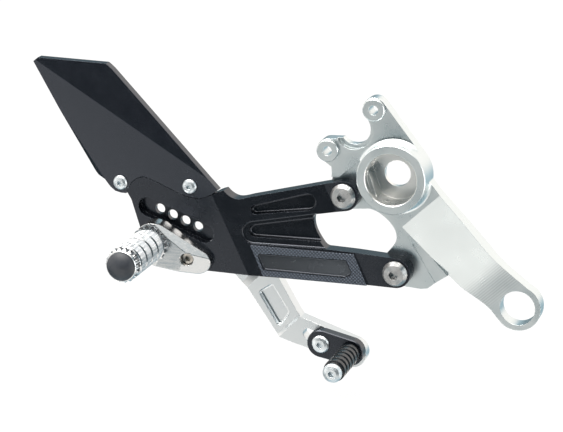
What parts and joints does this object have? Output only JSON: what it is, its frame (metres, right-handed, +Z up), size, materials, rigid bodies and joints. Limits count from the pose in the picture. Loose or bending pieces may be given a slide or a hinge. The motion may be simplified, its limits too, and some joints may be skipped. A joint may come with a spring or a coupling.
{
  "type": "rear set footrest",
  "caption": "Adjustable motorbike rear set: milled carrier with pivot cup and frame eye, bent black bracket with heel guard and knurled footpeg, and a hinged brake lever with sliding toe peg.",
  "frame": {"origin": "axis of the pivot bore at the carrier plate's rear face", "axes": "+X forward along the machine, +Z up, minus Y outward to the rider's boot; +Y into the frame"},
  "size_m": [0.3554, 0.1084, 0.2035],
  "materials": {
    "milled_aluminium": "milled, satin, clear anodised",
    "black_anodised_aluminium": "milled, black anodised, satin",
    "bright_aluminium": "turned, knurled and polished",
    "stainless_steel": "turned",
    "zinc_plated_steel": "bright zinc plated",
    "bronze_bush": "sintered",
    "cap_plastic": "satin",
    "sleeve_rubber": "ribbed"
  },
  "bodies": {
    "footrest_set": {"carrier_plate": "milled_aluminium", "footrest_bracket": "black_anodised_aluminium", "heel_guard": "black_anodised_aluminium", "bracket_bolts": "stainless_steel", "heel_guard_screws": "zinc_plated_steel", "peg_holder": "bright_aluminium", "peg_holder_bolt": "stainless_steel", "footpeg": "bright_aluminium", "peg_bolt_washer": "zinc_plated_steel", "peg_bolt": "zinc_plated_steel", "peg_end_cap": "cap_plastic", "lever_wave_washer": "stainless_steel", "lever_thrust_washer": "stainless_steel", "lever_pivot_bolt": "stainless_steel", "lever_stop_pin": "stainless_steel"},
    "lever": {"brake_lever": "milled_aluminium", "lever_bush": "bronze_bush"},
    "toe_piece": {"toe_carrier": "black_anodised_aluminium", "toe_slot_nut": "zinc_plated_steel", "toe_carrier_screw": "zinc_plated_steel", "toe_peg_sleeve": "sleeve_rubber", "toe_peg_screw": "zinc_plated_steel"}
  },
  "joints": [
    {"name": "brake_lever_pivot", "type": "hinge", "parent": "footrest_set", "child": "lever", "pos_m": [-0.125, 0, -0.058], "axis": [0, 1, 0], "range_deg": [0, 12]},
    {"name": "toe_peg_adjust", "type": "slide", "parent": "lever", "child": "toe_piece", "axis": [0.9415, 0, -0.3371], "range_m": [-0.012, 0.007]}
  ]
}
